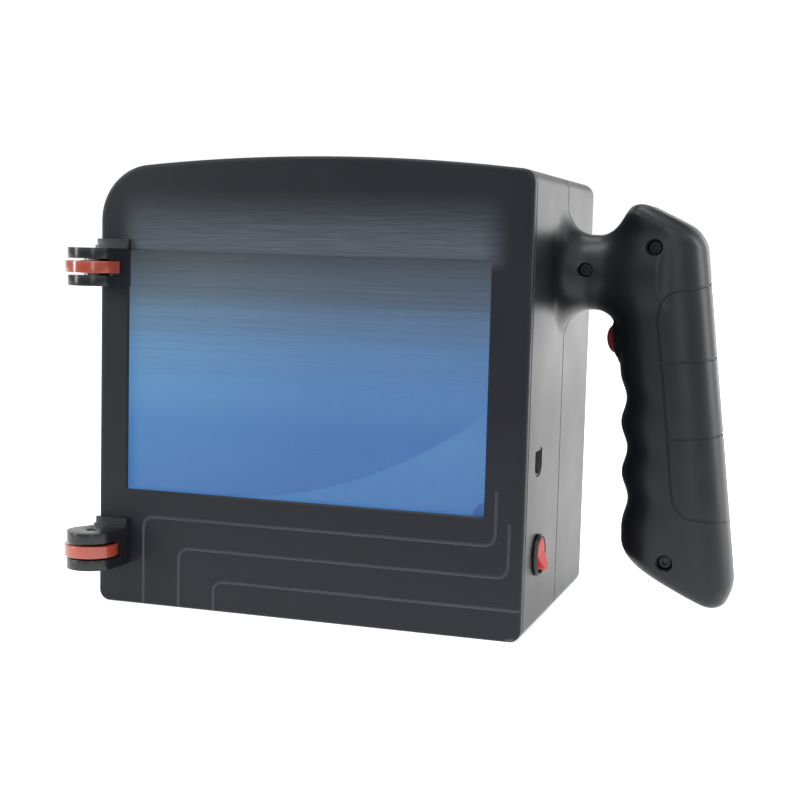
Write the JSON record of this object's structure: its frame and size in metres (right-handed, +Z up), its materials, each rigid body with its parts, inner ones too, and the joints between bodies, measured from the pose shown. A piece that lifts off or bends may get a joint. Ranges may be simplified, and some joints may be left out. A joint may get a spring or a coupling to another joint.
{
  "type": "thermal imaging camera",
  "caption": "Handheld thermal imaging camera with a large rear screen in a boxy housing, a side pistol grip with trigger, guide rollers on one edge and a focusable infrared lens.",
  "frame": {"origin": "centre of the housing's flat bottom face, midway between its front and rear faces", "axes": "+Z up; the screen faces -Y and the lens +Y; the grip is at +X and the rollers at -X"},
  "size_m": [0.2905, 0.1855, 0.204],
  "materials": {
    "charcoal_plastic": "satin moulded, fine grain",
    "black_plastic": "satin",
    "screen_glass": "gloss, dark blue picture behind",
    "display": "blue picture",
    "roller_orange": "gloss",
    "switch_red": "gloss",
    "button_red": "gloss",
    "steel": "satin",
    "black_steel": "black oxide",
    "aluminium": "cast, satin",
    "germanium": "coated, mirror-like",
    "board_green": "satin",
    "battery_blue": "satin film",
    "rubber": "matt"
  },
  "bodies": {
    "housing": {"front_bezel": "charcoal_plastic", "front_shell": "charcoal_plastic", "rear_shell": "charcoal_plastic", "screen_gasket": "rubber", "trigger_lead": "rubber", "screen_glass": "screen_glass", "lcd_panel": "display", "lcd_frame": "steel", "rocker_pin": "steel", "shutter_motor": "steel", "main_board": "board_green", "heat_sink": "aluminium", "detector_core": "aluminium", "battery_tray": "black_plastic", "switch_body": "black_plastic", "trigger_collar": "black_plastic", "trigger_switch": "black_plastic", "battery_pack": "battery_blue", "data_port": "black_steel", "lens_flange": "black_steel", "lens_barrel": "black_steel", "rear_lens": "germanium", "shell_screw_bottom_left": "black_steel", "shell_screw_bottom_right": "black_steel", "shell_screw_top_left": "black_steel", "shell_screw_top_right": "black_steel", "handle_screw_neck": "black_steel", "handle_screw_top": "black_steel", "handle_screw_foot": "black_steel", "flange_screw_1": "black_steel", "flange_screw_2": "black_steel", "flange_screw_3": "black_steel", "flange_screw_4": "black_steel", "bracket_screw_upper_top": "black_steel", "bracket_screw_upper_bottom": "black_steel", "bracket_screw_lower_top": "black_steel", "bracket_screw_lower_bottom": "black_steel", "roller_bracket_upper": "black_plastic", "roller_pin_upper": "steel", "roller_washer_upper_above": "steel", "roller_washer_upper_below": "steel", "roller_bracket_lower": "black_plastic", "roller_pin_lower": "steel", "roller_washer_lower_above": "steel", "roller_washer_lower_below": "steel"},
    "upper_roller": {"roller_wheel_upper": "roller_orange", "roller_bush_upper": "steel"},
    "lower_roller": {"roller_wheel_lower": "roller_orange", "roller_bush_lower": "steel"},
    "power_paddle": {"rocker": "switch_red"},
    "trigger": {"trigger_button": "button_red"},
    "focus_grip": {"focus_ring": "rubber"},
    "focus_group": {"focus_cell": "black_steel", "objective_lens": "germanium", "lens_retainer": "black_steel"},
    "shutter": {"shutter_flag": "black_steel"}
  },
  "joints": [
    {"name": "upper_roller_spin", "type": "hinge", "parent": "housing", "child": "upper_roller", "pos_m": [-0.0962, -0.0815, 0.1539], "axis": [0, 0, 1], "continuous": true},
    {"name": "lower_roller_spin", "type": "hinge", "parent": "housing", "child": "lower_roller", "pos_m": [-0.0962, -0.0815, 0.027], "axis": [0, 0, 1], "continuous": true},
    {"name": "power_rocker", "type": "hinge", "parent": "housing", "child": "power_paddle", "pos_m": [0.099, -0.039, 0.0332], "axis": [0, 1, 0], "range_deg": [0, 24]},
    {"name": "trigger_press", "type": "slide", "parent": "housing", "child": "trigger", "axis": [0.9925, 0, 0.1219], "range_m": [0, 0.002], "stiffness_N_per_m": 900, "springref_m": -0.001},
    {"name": "focus_turn", "type": "hinge", "parent": "housing", "child": "focus_grip", "pos_m": [0, 0.0817, 0.112], "axis": [0, 1, 0], "range_deg": [0, 90]},
    {"name": "focus_travel", "type": "slide", "parent": "housing", "child": "focus_group", "axis": [0, 1, 0], "range_m": [0, 0.0015]},
    {"name": "shutter_swing", "type": "hinge", "parent": "housing", "child": "shutter", "pos_m": [0.017, 0.0586, 0.112], "axis": [0, 1, 0], "range_deg": [0, 70]}
  ],
  "couplings": [
    {"joint": "focus_travel", "follows": "focus_turn", "m_per_rad": 0.00095}
  ]
}
